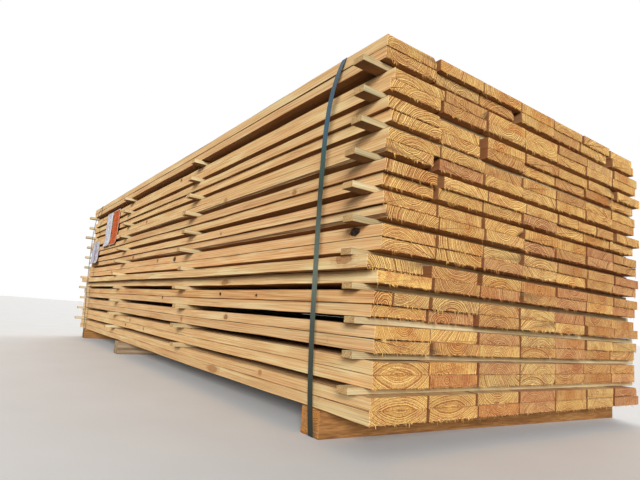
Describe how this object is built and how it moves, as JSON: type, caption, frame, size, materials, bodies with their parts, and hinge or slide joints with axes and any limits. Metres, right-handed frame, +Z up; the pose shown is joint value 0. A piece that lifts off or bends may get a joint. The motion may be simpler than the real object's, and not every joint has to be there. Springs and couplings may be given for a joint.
{
  "type": "stack of lumber",
  "caption": "Strapped pack of long sawn softwood boards in paired courses with thin stickers between them, on timber bearers, with blank pouches on one long side.",
  "frame": {"origin": "centre of the base, on the floor under the bearers", "axes": "+X along the boards towards the near end, -Y towards the front long side, +Z up"},
  "size_m": [4.224, 1.73, 1.219],
  "materials": {
    "board_wood": "fresh sawn softwood",
    "sticker_wood": "weathered sawn softwood",
    "bearer_wood": "rough sawn softwood",
    "band_plastic": "embossed strap",
    "pouch_white": "film",
    "pouch_orange": "film"
  },
  "bodies": {
    "root": {"band_far": "band_plastic", "band_near": "band_plastic", "bearer_far": "bearer_wood", "bearer_middle_packing": "bearer_wood", "bearer_middle_top": "bearer_wood", "bearer_near": "bearer_wood", "boards_course_01": "board_wood", "boards_course_02": "board_wood", "boards_course_03": "board_wood", "boards_course_04": "board_wood", "boards_course_05": "board_wood", "boards_course_06": "board_wood", "boards_course_07": "board_wood", "boards_course_08": "board_wood", "boards_course_09": "board_wood", "boards_course_10": "board_wood", "boards_course_11": "board_wood", "boards_course_12": "board_wood", "boards_course_13": "board_wood", "boards_course_14": "board_wood", "boards_course_15": "board_wood", "boards_course_16": "board_wood", "boards_course_17": "board_wood", "boards_course_18": "board_wood", "boards_course_19": "board_wood", "boards_course_20": "board_wood", "boards_course_21": "board_wood", "boards_course_22": "board_wood", "boards_course_23": "board_wood", "boards_course_24": "board_wood", "pouch_low": "pouch_white", "pouch_orange": "pouch_orange", "pouch_white": "pouch_white", "stickers_level_01": "sticker_wood", "stickers_level_02": "sticker_wood", "stickers_level_03": "sticker_wood", "stickers_level_04": "sticker_wood", "stickers_level_05": "sticker_wood", "stickers_level_06": "sticker_wood", "stickers_level_07": "sticker_wood", "stickers_level_08": "sticker_wood", "stickers_level_09": "sticker_wood", "stickers_level_10": "sticker_wood", "stickers_level_11": "sticker_wood"}
  },
  "joints": []
}
